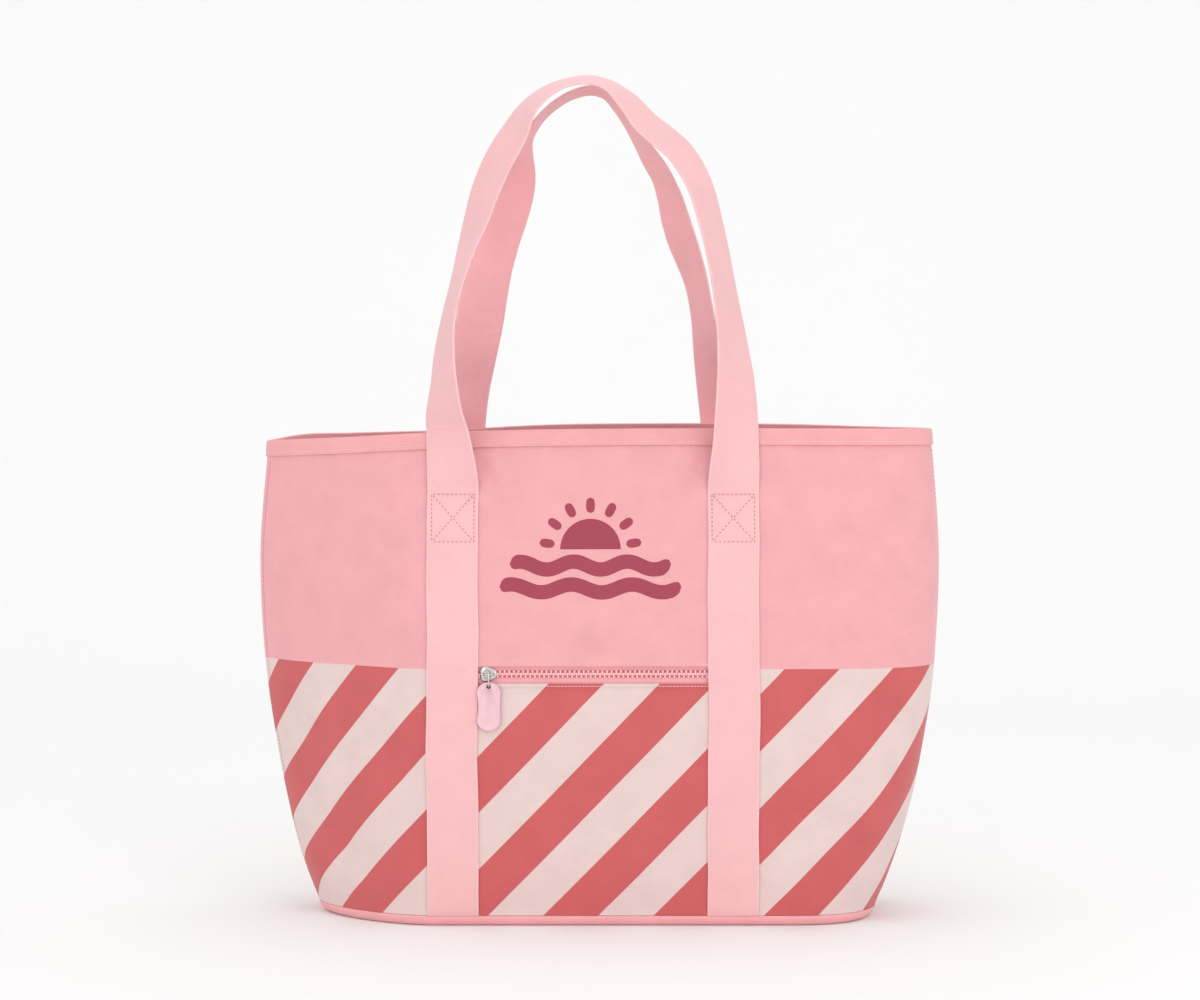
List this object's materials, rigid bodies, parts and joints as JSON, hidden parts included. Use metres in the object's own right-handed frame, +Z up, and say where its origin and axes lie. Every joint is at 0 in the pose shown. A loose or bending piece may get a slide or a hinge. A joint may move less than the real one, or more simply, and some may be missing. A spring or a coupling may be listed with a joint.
{
  "type": "beach tote bag",
  "caption": "Large soft tote with a flat base, an open bound rim, webbing handles that fold outwards, and a zipped pocket on the front below a plain upper panel.",
  "frame": {"origin": "on the floor, at the middle of the flat base", "axes": "+X to the bag's right as seen from the front, +Y towards the back (the zip pocket faces -Y), +Z up"},
  "size_m": [0.5436, 0.1828, 0.6653],
  "materials": {
    "outer_fabric": "plain-weave polyester, matt, pink above coral and cream diagonal stripes",
    "binding_tape": "folded pink binding tape with one row of stitching",
    "webbing": "pale pink twill webbing with a slight sheen",
    "lining_fabric": "smooth rose lining",
    "foam": "closed-cell foam sheet, hidden",
    "base_board": "flat polyethylene board, hidden",
    "zip_tape": "pink woven zip tape",
    "zip_plastic": "moulded pink zip teeth",
    "zip_metal": "polished nickel",
    "pull_rubber": "soft pale pink rubber, satin"
  },
  "bodies": {
    "bag": {"front_panel": "outer_fabric", "back_panel": "outer_fabric", "base_panel": "outer_fabric", "rim_binding": "binding_tape", "front_strap_left": "webbing", "front_strap_right": "webbing", "back_strap_left": "webbing", "back_strap_right": "webbing", "front_padding": "foam", "back_padding": "foam", "front_lining": "lining_fabric", "back_lining": "lining_fabric", "base_lining": "lining_fabric", "base_board": "base_board", "pocket_bag": "lining_fabric", "zip_tape_upper": "zip_tape", "zip_tape_lower": "zip_tape", "zip_teeth_upper": "zip_plastic", "zip_teeth_lower": "zip_plastic", "zip_stop_left": "zip_plastic", "zip_stop_right": "zip_plastic"},
    "front_handle": {"front_handle": "webbing"},
    "rear_handle": {"rear_handle": "webbing"},
    "zip_slider": {"zip_slider": "zip_metal"},
    "pull_link": {"pull_link": "zip_metal"},
    "pull_tab": {"pull_tab": "pull_rubber"}
  },
  "joints": [
    {"name": "front_handle_fold", "type": "hinge", "parent": "bag", "child": "front_handle", "pos_m": [0, -0.0669, 0.33885], "axis": [1, 0, 0], "range_deg": [0, 160]},
    {"name": "rear_handle_fold", "type": "hinge", "parent": "bag", "child": "rear_handle", "pos_m": [0, 0.0669, 0.33885], "axis": [-1, 0, 0], "range_deg": [0, 160]},
    {"name": "zip_slide", "type": "slide", "parent": "bag", "child": "zip_slider", "axis": [1, 0, 0], "range_m": [0, 0.162]},
    {"name": "pull_lift", "type": "hinge", "parent": "zip_slider", "child": "pull_link", "pos_m": [-0.0836, -0.09071, 0.198], "axis": [-1, 0, 0], "range_deg": [0, 165]},
    {"name": "tab_swing", "type": "hinge", "parent": "pull_link", "child": "pull_tab", "pos_m": [-0.0836, -0.09071, 0.1886], "axis": [0, 1, 0], "range_deg": [-50, 50]}
  ]
}
